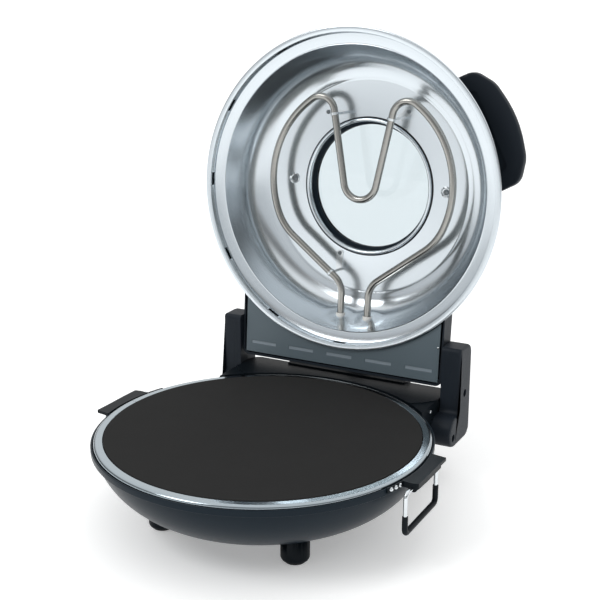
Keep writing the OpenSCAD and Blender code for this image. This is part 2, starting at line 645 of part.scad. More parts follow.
module lid_box() on_lid() color("#2a2f33") difference() {
    union() {
        rounded_plate(box_plan, box_low, box_top, 4);
        translate([-hump_x, 0, 0]) upright() linear_extrude(2 * hump_x) polygon(hump_side);
        translate([-knuckle_x, pivot_y, pivot_h]) rotate([0, 90, 0])
            cylinder(r = knuckle_r, h = 2 * knuckle_x);
    }
    lid_envelope();
    // Hollow of the box and of the hump
    difference() {
        translate([0, 0, box_low - 1]) linear_extrude(box_top - box_low + 1 - box_wall)
            polygon(grown(box_plan, -box_wall));
        translate([-knuckle_x, pivot_y, pivot_h]) rotate([0, 90, 0])
            cylinder(r = knuckle_r, h = 2 * knuckle_x);
        both_sides() translate([100, pivot_y, pivot_h]) rotate([0, 90, 0])
            cylinder(r = 9, h = 20);
    }
    translate([-hump_x + box_wall, 0, 0]) upright() linear_extrude(2 * (hump_x - box_wall))
        polygon([[100, 20], [176, 20], [176, 29.3], [154.5, 45.2], [100, 47.5]]);
    // Seat for the slotted panel
    translate([-panel_x - 0.1, 80, box_low - 1]) cube([2 * panel_x + 0.2, 108.4, 1 + panel_t]);
    both_sides() translate([98, pivot_y, pivot_h]) rotate([0, 90, 0])
        cylinder(r = pin_r + 0.05, h = 30);
    knob_axis() translate([0, 0, -12]) cylinder(r = shaft_r + 0.05, h = 20);
    both_sides() translate([lens_x, 172, box_top - 5]) cylinder(r = 3.5, h = 10);
}

module lid_box_panel() on_lid() color("#515a60") difference() {
    translate([-panel_x, 100, box_low]) cube([2 * panel_x, 88.3, panel_t]);
    cylinder(r = lid_r + 0.6, h = 20);
    for (i = [-2:2]) translate([i * slot_gap - 15, 175.4, 0]) cube([30, 3.5, 20]);
}

module thermostat() on_lid() color("#b6b0a0") knob_axis() {
    translate([0, 0, -10]) cylinder(r = 7, h = 6);
    translate([-14, -4, -6]) cube([28, 8, 2]);
}

module knob_shaft() on_lid() color("#a8acb0") knob_axis() translate([0, 0, -3.9])
    cylinder(r = shaft_r, h = 12);

module control_knob() on_lid() color("#1b1e21") knob_axis() difference() {
    union() {
        turned([[0, 1], [knob_r, 1], [knob_r, 3.4], [knob_r - 1.4, 4.4], [knob_r - 2.2, 13],
            [knob_r - 3.6, 14.6], [0, 14.6]]);
    }
    for (i = [0:17]) rotate([0, 0, 20 * i]) translate([knob_r - 0.9, 0, 5]) cylinder(r = 1.2, h = 12);
    translate([-0.7, 3, 14]) cube([1.4, 8, 2]);
    translate([0, 0, 0]) cylinder(r = shaft_r, h = 8.1);
}

module pilot_lenses() on_lid() for (side = [-1, 1]) color(side < 0 ? "#c0392b" : "#3f9d4c")
    translate([lens_x * side, 172, box_top - 4]) turned([[0, 0], [3.5, 0], [3.5, 4], [4.6, 4],
        [4.4, 5.2], [3, 6.4], [0, 6.9]]);

// Lid handles

handle_plan = rounded([[128, -62, 0], [164, -61, 16], [178.5, -41, 30], [187.5, 0, 120],
    [178.5, 41, 30], [164, 61, 16], [128, 62, 0]], 6);

module handle_place(side) rotate([0, 0, side > 0 ? -handle_turn : 180 + handle_turn]) children();

module handle_screw_axes(side) for (a = [-1, 1]) handle_place(side)
    rotate([0, 0, a * handle_screw_turn]) translate([151.2, 0, handle_low + 5.5])
    rotate([0, 90, 0]) children();

module lid_handle(side) on_lid() color("#212530") difference() {
    handle_place(side) lofted([grown(handle_plan, -3), grown(handle_plan, -0.8), handle_plan,
        handle_plan, grown(handle_plan, -0.8), grown(handle_plan, -3)],
        [handle_low, handle_low + 0.8, handle_low + 3, handle_low + handle_t - 3,
        handle_low + handle_t - 0.8, handle_low + handle_t]);
    lid_envelope();
    handle_screw_axes(side) translate([0, 0, -30]) cylinder(r = 1.7, h = 40);
    // Finger hollow on the hem's side of the grip
    handle_place(side) translate([0, 0, handle_low - 1]) linear_extrude(3)
        polygon(rounded([[136, -43, 2], [159, -43, 5], [159, 43, 5], [136, 43, 2]], 4));
}

module left_lid_handle() lid_handle(-1);
module right_lid_handle() lid_handle(1);

module handle_screws() on_lid() color("#9a9ea2") for (side = [1, -1]) handle_screw_axes(side)
    translate([0, 0, -7.9]) mirror([0, 0, 1]) pan_screw(3.4, 1.5, 1.6, 15);

base_bowl();
stone_ring();
pizza_stone();
base_reflector();
lower_heating_element();
lower_element_clips();
front_left_foot();
front_right_foot();
rear_left_foot();
rear_right_foot();
foot_pads();
foot_screws();
rear_housing();
housing_cover();
terminal_block();
cord_gland();
left_bracket();
right_bracket();
bracket_rivets();
left_bail();
right_bail();
left_bail_sleeve();
right_bail_sleeve();
left_arm();
right_arm();
left_arm_cover();
right_arm_cover();
arm_bolts();
arm_screws();
left_pivot_pin();
right_pivot_pin();
lid_shell();
lid_reflector();
window_ring();
window_gasket();
window_glass();
window_bezel();
upper_heating_element();
upper_element_clips();
element_bushings();
reflector_screws();
lid_box();
lid_box_panel();
thermostat();
knob_shaft();
control_knob();
pilot_lenses();
left_lid_handle();
right_lid_handle();
handle_screws();
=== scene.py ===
"""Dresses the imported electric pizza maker: spun, bent and moulded pieces, each with its finish."""

import json
import math

import bmesh
import bpy
import numpy as np
from mathutils import Matrix, Vector

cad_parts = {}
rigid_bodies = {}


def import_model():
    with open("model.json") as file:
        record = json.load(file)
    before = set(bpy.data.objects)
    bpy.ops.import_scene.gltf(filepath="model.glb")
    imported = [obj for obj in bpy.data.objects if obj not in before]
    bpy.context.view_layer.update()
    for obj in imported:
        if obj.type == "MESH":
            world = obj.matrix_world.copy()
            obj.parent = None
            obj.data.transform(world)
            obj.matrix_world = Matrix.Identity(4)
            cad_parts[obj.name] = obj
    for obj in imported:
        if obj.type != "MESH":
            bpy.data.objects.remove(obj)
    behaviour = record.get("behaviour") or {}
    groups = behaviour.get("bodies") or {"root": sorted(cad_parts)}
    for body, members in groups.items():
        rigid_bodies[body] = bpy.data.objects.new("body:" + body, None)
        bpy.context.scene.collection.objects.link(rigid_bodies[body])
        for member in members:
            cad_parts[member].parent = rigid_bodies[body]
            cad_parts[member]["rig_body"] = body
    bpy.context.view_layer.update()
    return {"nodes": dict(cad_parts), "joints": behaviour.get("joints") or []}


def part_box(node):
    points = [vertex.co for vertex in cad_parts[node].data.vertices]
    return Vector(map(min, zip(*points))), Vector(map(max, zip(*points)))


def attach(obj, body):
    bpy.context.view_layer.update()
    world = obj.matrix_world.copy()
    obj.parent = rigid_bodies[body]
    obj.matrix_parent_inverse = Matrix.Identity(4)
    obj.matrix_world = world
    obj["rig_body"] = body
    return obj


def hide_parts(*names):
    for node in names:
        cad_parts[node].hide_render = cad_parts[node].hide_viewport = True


bl_info = {
    "name": "Electric pizza maker",
    "version": (1, 0, 0),
    "blender": (4, 5, 0),
    "location": "3D Viewport > Sidebar > Pizza maker",
    "description": "Builds the visible pieces of an electric pizza maker round its fixed model",
    "category": "Add Mesh",
}

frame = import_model()

MM = 0.001
TINY = 1e-6


def at(x, y, z):
    """A place given in millimetres."""
    return Matrix.Translation((x * MM, y * MM, z * MM))


def about(axis, degrees):
    """A turn about an axis."""
    return Matrix.Rotation(math.radians(degrees), 4, axis)


STONE_LOW, STONE_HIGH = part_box("pizza_stone")
# The middle of the stone's top face
BASE = Matrix.Translation(
    ((STONE_LOW.x + STONE_HIGH.x) / 2, (STONE_LOW.y + STONE_HIGH.y) / 2, STONE_HIGH.z)
)
HINGE = Vector(next(j for j in frame["joints"] if j["name"] == "lid_hinge")["pos_m"])
# Degrees by which the lid is swung open
OPEN_ANGLE = 94.5
# How far the hinge lies behind the closed lid's middle and above its hem, in millimetres
HINGE_BACK = 180.5
HINGE_UP = 18.2
# From the closed lid's own axes, hem at z = 0, to where the lid stands open
LID = Matrix.Translation(HINGE) @ about("X", -OPEN_ANGLE) @ at(0, -HINGE_BACK, -HINGE_UP)
# Heights of the inner dome's roof and of the upper element above the hem, in millimetres
ROOF = 60
ELEMENT = 38
# Sideways distance of the upper element's two ends from the middle, in millimetres
TERMINAL = 16
LATHE_STEPS = 240
SPIN_MAP = "spin"


def linear(hex_colour):
    """Turns an sRGB hex colour into the linear one that shaders use."""
    parts = [int(hex_colour[i : i + 2], 16) / 255 for i in (0, 2, 4)]
    return tuple(p / 12.92 if p <= 0.04045 else ((p + 0.055) / 1.055) ** 2.4 for p in parts)


def length(name, description, value_mm):
    """A size in the panel, given in millimetres."""
    return bpy.props.FloatProperty(
        name=name, description=description, default=value_mm * MM, min=0, unit="LENGTH", precision=5
    )


def colour(name, description, hex_colour):
    """A colour in the panel."""
    return bpy.props.FloatVectorProperty(
        name=name, description=description, default=linear(hex_colour), subtype="COLOR", size=3,
        min=0, max=1
    )


class PizzaMakerSizes(bpy.types.PropertyGroup):
    """Sizes that the dressing adds to the fixed model."""

    tube: length("Element tube", "Radius of the heating elements' tube", 3.8)
    wire: length("Bail wire", "Radius of the bails' wire", 1.9)
    sleeve: length("Bail sleeve", "Radius of the plastic sleeve on a bail", 2.7)
    plastic_edge: length("Plastic edge", "Rounding of moulded plastic edges", 0.9)
    boss: length("Pressed boss", "Height of the bosses pressed in the dome round the bushings", 3)
    plastic_grain: length("Plastic grain", "Size of the eroded texture on plastic", 0.8)
    stone_grain: length("Stone grain", "Size of the grit in the baking stone", 0.6)
    spin_line: length("Spinning lines", "Spacing of the fine rings on spun steel", 0.7)


class PizzaMakerColours(bpy.types.PropertyGroup):
    """Colours of the finishes."""

    stone: colour("Stone", "Fired and blackened baking stone", "2e2e2e")
    enamel: colour("Enamel", "Satin enamel of the bowl and the lid's outside", "18222a")
    stainless: colour("Stainless", "Satin stainless steel of the dome", "cfd6db")
    polished: colour("Polished steel", "Brighter steel of the stone's ring", "a3adb3")
    sheath: colour("Element sheath", "Heat-toned steel of the elements", "9c9b97")
    plastic: colour("Plastic", "Moulded plastic of arms, housing and handles", "20262d")
    panel: colour("Panel", "Powder-coated slotted panel", "57646b")
    # The slots' lighter bars are painted light showing through the slots
    grille: colour("Grille bars", "Lighter bars in the panel's slots", "828d95")
    floor: colour("Floor", "Studio floor", "f7f8f8")


# Plane curves, in millimetres


def curved(a, b, c, d, count):
    """Points of a cubic curve without its first point."""
    t = np.arange(1, count + 1)[:, None] / count
    s = 1 - t
    p = s**3 * np.array(a) + 3 * s * s * t * np.array(b) + 3 * s * t * t * np.array(c)
    return [tuple(q) for q in p + t**3 * np.array(d)]


def arc(centre, radius, start, end, count):
    """Points of an arc, angles in degrees."""
    turns = np.radians(np.linspace(start, end, count + 1))
    return [(centre[0] + radius * math.cos(a), centre[1] + radius * math.sin(a)) for a in turns]


def polar(radius, degrees):
    """A plane vector of a length and a heading."""
    a = math.radians(degrees)
    return radius * np.array((math.cos(a), math.sin(a)))


def beside(path, distance):
    """An open path moved to its left."""
    p = np.array(path, float)
    along = np.array([p[min(i + 1, len(p) - 1)] - p[max(i - 1, 0)] for i in range(len(p))])
    along /= np.linalg.norm(along, axis=1)[:, None]
    return [tuple(q) for q in p + distance * np.stack([-along[:, 1], along[:, 0]], 1)]


def pressed(path, thickness):
    """Section of a pressed sheet: a path and the same path moved by its thickness."""
    return list(path) + beside(path, thickness)[::-1]


def eased(points, radius, count=3):
    """A closed outline with every sharp corner rounded to the given radius."""
    out = []
    total = len(points)
    for i in range(total):
        p = np.array(points[i], float)
        a = np.array(points[i - 1], float) - p
        b = np.array(points[(i + 1) % total], float) - p
        la, lb = np.linalg.norm(a), np.linalg.norm(b)
        a, b = a / la, b / lb
        half = math.acos(max(-1, min(1, float(a @ b)))) / 2
        # Corners that are nearly straight, or on the axis, stay as they are
        if half > math.radians(80) or abs(p[0]) < TINY:
            out.append(tuple(p))
            continue
        # A rounding takes less than half of each side
        reach = min(radius / math.tan(half), 0.45 * la, 0.45 * lb)
        start, end = p + a * reach, p + b * reach
        for k in range(count + 1):
            t = k / count
            out.append(tuple((1 - t) ** 2 * start + 2 * t * (1 - t) * p + t * t * end))
    return out


def along_steps(steps, per_bow=3.0):
    """Points of a flat bar made of straights [length] and bows [radius, degrees]."""
    x, y, heading = 0.0, 0.0, 0.0
    out = [(x, y)]
    for step in steps:
        if len(step) == 1:
            x += step[0] * math.cos(heading)
            y += step[0] * math.sin(heading)
            out.append((x, y))
            continue
        radius, turn = step[0], math.radians(step[1])
        side = 1 if turn > 0 else -1
        cx, cy = x - side * radius * math.sin(heading), y + side * radius * math.cos(heading)
        count = max(3, math.ceil(abs(step[1]) / per_bow))
        for k in range(1, count + 1):
            h = heading + turn * k / count
            out.append((cx + side * radius * math.sin(h), cy - side * radius * math.cos(h)))
        x, y = out[-1]
        heading += turn
    return out


# Solids as corners and faces, in millimetres


def prism(outline, low, high):
    """A flat outline, drawn anticlockwise, stood up between two heights."""
    count = len(outline)
    verts = [(x, y, z) for z in (low, high) for x, y in outline]
    faces = [tuple(range(count))[::-1], tuple(range(count, 2 * count))]
    faces += [(i, (i + 1) % count, (i + 1) % count + count, i + count) for i in range(count)]
    return verts, faces


def strip(path, width, thickness):
    """A bent strip: its path in x and z, its width along y."""
    left, right = beside(path, thickness / 2), beside(path, -thickness / 2)
    verts = []
    for (ax, az), (bx, bz) in zip(left, right):
        verts += [
            (ax, -width / 2, az), (ax, width / 2, az), (bx, width / 2, bz), (bx, -width / 2, bz)
        ]
    faces = [(0, 1, 2, 3), (len(verts) - 1, len(verts) - 2, len(verts) - 3, len(verts) - 4)]
    for i in range(0, len(verts) - 4, 4):
        for k in range(4):
            m = (k + 1) % 4
            faces.append((i + m, i + k, i + k + 4, i + m + 4))
    return verts, faces


def moved(solid, matrix):
    """A solid carried to another place, its lengths still in millimetres."""
    return [tuple(matrix @ Vector(v)) for v in solid[0]], solid[1]


def together(solids):
    """Several solids as one."""
    verts, faces = [], []
    for more, sides in solids:
        faces += [tuple(i + len(verts) for i in side) for side in sides]
        verts += more
    return verts, faces


# Meshes


def placed(name, data):
    """An object of some data, linked to the scene."""
    obj = bpy.data.objects.new(name, data)
    bpy.context.scene.collection.objects.link(obj)
    return obj


def piece(name, solid, place, material):
    """A finished mesh object with its place in its mesh."""
    mesh = bpy.data.meshes.new(name)
    mesh.from_pydata([tuple(place @ (Vector(v) * MM)) for v in solid[0]], [], solid[1])
    mesh.update()
    mesh.materials.append(material)
    return placed(name, mesh)


def smoothed(obj, degrees=35):
    """Smooth shading with creases kept sharp."""
    mesh = obj.data
    mesh.polygons.foreach_set("use_smooth", [True] * len(mesh.polygons))
    mesh.set_sharp_from_angle(angle=math.radians(degrees))
    return obj


def turned(name, profile, place, material, steps=LATHE_STEPS, gap=0, start=0):
    """A closed (radius, height) section spun round the z axis of its place.

    Its map runs round the axis in one direction and along the section in the other.
    """
    section = [(max(r, 0), z) for r, z in profile]
    area = sum(
        section[i - 1][0] * section[i][1] - section[i][0] * section[i - 1][1]
        for i in range(len(section))
    )
    if area < 0:
        section.reverse()
    columns = steps + 1 if gap else steps
    sweep = 2 * math.pi - math.radians(gap)
    verts, rows = [], []
    for r, z in section:
        if r < TINY:
            rows.append([len(verts)] * columns)
            verts.append((0, 0, z))
            continue
        rows.append(list(range(len(verts), len(verts) + columns)))
        for k in range(columns):
            a = math.radians(start + gap / 2) + sweep * k / steps
            verts.append((r * math.cos(a), r * math.sin(a), z))
    faces, spots = [], []
    walked = 0.0
    for i, (r, z) in enumerate(section):
        low, high = rows[i], rows[(i + 1) % len(rows)]
        ahead = section[(i + 1) % len(section)]
        step = math.hypot(ahead[0] - r, ahead[1] - z) * MM
        for k in range(steps):
            m = (k + 1) % columns
            corners = [
                (low[k], k, walked),
                (low[m], k + 1, walked),
                (high[m], k + 1, walked + step),
                (high[k], k, walked + step),
            ]
            corners = [c for n, c in enumerate(corners) if c[0] != corners[n - 1][0]]
            if len(corners) > 2:
                faces.append([c[0] for c in corners])
                spots += [x for c in corners for x in (c[1] / steps, c[2])]
        walked += step
    if gap:
        faces.append([r[0] for r in rows][::-1])
        faces.append([r[-1] for r in rows])
        spots += [0.0, 0.0] * 2 * len(rows)
    obj = piece(name, (verts, faces), place, material)
    obj.data.uv_layers.new(name=SPIN_MAP).data.foreach_set("uv", spots)
    return smoothed(obj)


def settled(obj, name, material=None):
    """The evaluated object as a plain mesh with no modifiers."""
    graph = bpy.context.evaluated_depsgraph_get()
    graph.update()
    mesh = bpy.data.meshes.new_from_object(obj.evaluated_get(graph))
    old = obj.data
    bpy.data.objects.remove(obj)
    if old.users == 0:
        bpy.data.meshes.remove(old)
    mesh.name = name
    if material is not None:
        mesh.materials.clear()
        mesh.materials.append(material)
    return placed(name, mesh)


def cut(obj, cutter, material):
    """The object with the cutter taken away from it; the cutter is used up."""
    name = obj.name
    taking = obj.modifiers.new("cut", "BOOLEAN")
    taking.operation = "DIFFERENCE"
    taking.solver = "EXACT"
    taking.object = cutter
    result = settled(obj, name, material)
    bpy.data.objects.remove(cutter)
    return smoothed(result)


def swelled(obj, centre, along, radius, height):
    """Presses a round boss out of a sheet: its points move along one way, most at the centre."""
    points = np.empty(3 * len(obj.data.vertices))
    obj.data.vertices.foreach_get("co", points)
    points = points.reshape(-1, 3)
    apart = np.linalg.norm(points - np.array(centre), axis=1) / radius
    share = np.clip(1 - apart**2, 0, 1) ** 2
    points += np.array(along) * height * share[:, None]
    obj.data.vertices.foreach_set("co", points.ravel())
    obj.data.update()


def carried(node, material, edge=0.0, degrees=35):
    """A finished copy of a fixed node: its corners merged, its edges rounded, its faces smooth."""
    source = frame["nodes"][node]
    mesh = source.data.copy()
    mesh.materials.clear()
    mesh.materials.append(material)
    shape = bmesh.new()
    shape.from_mesh(mesh)
    bmesh.ops.remove_doubles(shape, verts=shape.verts, dist=TINY)
    bmesh.ops.dissolve_limit(
        shape, angle_limit=math.radians(0.4), verts=shape.verts, edges=shape.edges
    )
    shape.to_mesh(mesh)
    shape.free()
    obj = placed(node + "_finished", mesh)
    if edge:
        bevel = obj.modifiers.new("edges", "BEVEL")
        bevel.width = edge
        bevel.segments = 2
        bevel.limit_method = "ANGLE"
        bevel.angle_limit = math.radians(degrees)
        bevel.use_clamp_overlap = True
        obj = settled(obj, node + "_finished", material)
    smoothed(obj, degrees)
    flats = obj.modifiers.new("flats", "WEIGHTED_NORMAL")
    flats.keep_sharp = True
    obj = settled(obj, node + "_finished", material)
    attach(obj, source["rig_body"])
    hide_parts(node)
    return obj


def standing_for(obj, body, slot, *nodes):
    """Lets a piece ride on a body and take the place of fixed nodes. The slot is not used."""
    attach(obj, body)
    if nodes:
        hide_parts(*nodes)
    return obj


# Geometry node trees


def add(tree, kind, values=None, wires=None, **settings):
    """Adds a node with its settings, its input values and its links."""
    made = tree.nodes.new(kind)
    for key, value in settings.items():
        setattr(made, key, value)
    for key, value in (values or {}).items():
        made.inputs[key].default_value = value
    for key, (source, output) in (wires or {}).items():
        tree.links.new(source.outputs[output], made.inputs[key])
    return made


def new_tree(name, inputs):
    """An empty tree with geometry in and out and named inputs of the given kinds."""
    tree = bpy.data.node_groups.new(name, "GeometryNodeTree")
    face = tree.interface
    face.new_socket("Geometry", in_out="INPUT", socket_type="NodeSocketGeometry")
    for label, kind in inputs.items():
        face.new_socket(label, in_out="INPUT", socket_type="NodeSocket" + kind)
    face.new_socket("Geometry", in_out="OUTPUT", socket_type="NodeSocketGeometry")
    return tree, add(tree, "NodeGroupInput")


def ended(tree, source, made, output):
    """Ends a tree: copies made real, the finish set, the result sent out."""
    real = add(tree, "GeometryNodeRealizeInstances", wires={"Geometry": (made, output)})
    finish = add(
        tree, "GeometryNodeSetMaterial",
        wires={"Geometry": (real, "Geometry"), "Material": (source, "Finish")},
    )
    add(tree, "NodeGroupOutput", wires={"Geometry": (finish, "Geometry")})
    return tree


def tube_tree():
    """Bent tube: a round section swept along the input's edges, closed at both ends."""
    tree, source = new_tree("bent_tube", {"Radius": "Float", "Sides": "Int", "Finish": "Material"})
    path = add(tree, "GeometryNodeMeshToCurve", wires={"Mesh": (source, "Geometry")})
    section = add(
        tree, "GeometryNodeCurvePrimitiveCircle",
        wires={"Resolution": (source, "Sides"), "Radius": (source, "Radius")},
    )
    swept = add(
        tree, "GeometryNodeCurveToMesh", values={"Fill Caps": True},
        wires={"Curve": (path, "Curve"), "Profile Curve": (section, "Curve")},
    )
    return ended(tree, source, swept, "Mesh")


def copies_tree():
    """Like pieces set out on points: one copy on each, turned by the point's own turn."""
    tree, source = new_tree("copies_on_points", {"Piece": "Object", "Finish": "Material"})
    shape = add(tree, "GeometryNodeObjectInfo", wires={"Object": (source, "Piece")})
    turn = add(
        tree, "GeometryNodeInputNamedAttribute", values={"Name": "turn"}, data_type="FLOAT_VECTOR"
    )
    spin = add(tree, "FunctionNodeEulerToRotation", wires={"Euler": (turn, "Attribute")})
    set_out = add(
        tree, "GeometryNodeInstanceOnPoints",
        wires={
            "Points": (source, "Geometry"), "Instance": (shape, "Geometry"),
            "Rotation": (spin, "Rotation"),
        },
    )
    return ended(tree, source, set_out, "Instances")


TREES = {}


def grown_by(obj, build, values, name):
    """Runs a tree on an object with its inputs set by their identifiers, and keeps a plain mesh."""
    if build not in TREES:
        TREES[build] = build()
    tree = TREES[build]
    modifier = obj.modifiers.new(tree.name, "NODES")
    modifier.node_group = tree
    for socket in tree.interface.items_tree:
        if socket.in_out == "INPUT" and socket.name in values:
            modifier[socket.identifier] = values[socket.name]
    return settled(obj, name)


def loose(name, points, edges):
    """An object of bare points and edges."""
    mesh = bpy.data.meshes.new(name)
    mesh.from_pydata([tuple(p) for p in points], edges, [])
    return placed(name, mesh)


def tube(name, points, place, radius, material, sides=24):
    """A closed tube along points in millimetres."""
    path = loose(
        name + "_path",
        [place @ (Vector(p) * MM) for p in points],
        [(i, i + 1) for i in range(len(points) - 1)],
    )
    values = {"Radius": radius, "Sides": sides, "Finish": material}
    return smoothed(grown_by(path, tube_tree, values, name), 50)


def copies(name, shape, places, material):
    """Copies of a small piece at each place, a matrix, as one mesh. The piece itself is used up."""
    points = loose(name + "_points", [m.to_translation() for m in places], [])
    turn = points.data.attributes.new("turn", "FLOAT_VECTOR", "POINT")
    turn.data.foreach_set("vector", [a for m in places for a in m.to_euler("XYZ")])
    made = grown_by(points, copies_tree, {"Piece": shape, "Finish": material}, name)
    bpy.data.objects.remove(shape)
    return smoothed(made, 40)


# Finishes


def blank(name):
    """A new material with an empty tree and its Object coordinates."""
    material = bpy.data.materials.new(name)
    material.use_nodes = True
    tree = material.node_tree
    tree.nodes.clear()
    return material, tree, add(tree, "ShaderNodeTexCoord")


def shaded(material, tree, tone, values, wires):
    """Ends a material with its shader."""
    shader = add(
        tree, "ShaderNodeBsdfPrincipled", values={"Base Color": (*tone, 1), **values}, wires=wires
    )
    add(tree, "ShaderNodeOutputMaterial", wires={"Surface": (shader, "BSDF")})
    material.diffuse_color = (*tone, 1)
    return material


def worn(tree, cloud, lines, rough, strength, depth, span=(0.3, 0.7)):
    """Wires for a roughness that follows one texture and a relief that follows another.

    The first texture's values over the span are spread between the two ends of the roughness.
    """
    gloss = add(
        tree, "ShaderNodeMapRange",
        values=dict(zip(("From Min", "From Max", "To Min", "To Max"), (*span, *rough))),
        wires={"Value": (cloud, "Fac")},
    )
    relief = add(
        tree, "ShaderNodeBump", values={"Strength": strength, "Distance": depth},
        wires={"Height": (lines, "Fac")},
    )
    return {"Roughness": (gloss, "Result"), "Normal": (relief, "Normal")}


def toned(base, factor):
    """A colour made lighter or darker."""
    return (*[min(1.0, c * factor) for c in base], 1)


def grained(name, tone, rough, grain, depth, cloud, spread, **values):
    """A finish with a fine grain in its roughness and relief, and slow clouds in its tone.

    The grain, its depth and the clouds are sizes in metres; rough gives the two ends of the
    roughness, and spread the share by which the clouds lighten and darken the tone.
    """
    material, tree, place = blank(name)
    wires = {"Vector": (place, "Object")}
    grit = {"Scale": 1 / grain, "Detail": 3.0, "Roughness": 0.6}
    fine = add(tree, "ShaderNodeTexNoise", grit, wires)
    slow = add(tree, "ShaderNodeTexNoise", {"Scale": 1 / cloud, "Detail": 3.0}, wires)
    shade = add(
        tree, "ShaderNodeMix", values={6: toned(tone, 1 - spread), 7: toned(tone, 1 + spread)},
        wires={0: (slow, "Fac")}, data_type="RGBA",
    )
    wires = {"Base Color": (shade, 2), **worn(tree, fine, fine, rough, 0.6, depth)}
    return shaded(material, tree, tone, values, wires)


def spun_steel(name, tone, place_matrix, line, rough, grip):
    """Spun stainless sheet: fine rings round its axis draw the glints out sideways."""
    material, tree, place = blank(name)
    spot, turn = place_matrix.to_translation(), tuple(place_matrix.to_euler("XYZ"))
    own = add(
        tree, "ShaderNodeMapping", values={"Location": spot, "Rotation": turn},
        wires={"Vector": (place, "Object")}, vector_type="TEXTURE",
    )
    split = add(tree, "ShaderNodeSeparateXYZ", wires={"Vector": (own, "Vector")})
    flat = add(tree, "ShaderNodeCombineXYZ", wires={"X": (split, "X"), "Y": (split, "Y")})
    radius = add(
        tree, "ShaderNodeVectorMath", wires={"Vector": (flat, "Vector")}, operation="LENGTH"
    )
    # Distance from the axis and height make the rings
    rings = add(tree, "ShaderNodeCombineXYZ", wires={"X": (radius, "Value"), "Y": (split, "Z")})
    streaks = {"Scale": 1 / line, "Detail": 3.0, "Roughness": 0.7}
    lines = add(tree, "ShaderNodeTexNoise", streaks, {"Vector": (rings, "Vector")})
    # Dull and bright areas about 80 mm wide
    areas = {"Scale": 12.0, "Detail": 1.0}
    smear = add(tree, "ShaderNodeTexNoise", areas, {"Vector": (own, "Vector")})
    shade = add(
        tree, "ShaderNodeMix", values={6: toned(tone, 0.94), 7: toned(tone, 1.04)},
        wires={0: (lines, "Fac")}, data_type="RGBA",
    )
    along = add(tree, "ShaderNodeTangent", direction_type="UV_MAP", uv_map=SPIN_MAP)
    values = {"Metallic": 1.0, "Anisotropic": grip}
    wires = {"Base Color": (shade, 2), "Tangent": (along, "Tangent")}
    wires.update(worn(tree, smear, lines, rough, 0.3, 0.012 * MM))
    return shaded(material, tree, tone, values, wires)


def clear(name, tone, rough, ripple, depth, through, ior):
    """Glass or a clear plastic: tinted all through, with a slight ripple on its face."""
    material, tree, place = blank(name)
    ripples = {"Scale": 1 / ripple, "Detail": 2.0}
    wave = add(tree, "ShaderNodeTexNoise", ripples, {"Vector": (place, "Object")})
    values = {"IOR": ior, "Transmission Weight": through}
    wires = worn(tree, wave, wave, rough, 0.3, depth, span=(0.0, 1.0))
    return shaded(material, tree, tone, values, wires)


MATERIALS = {}


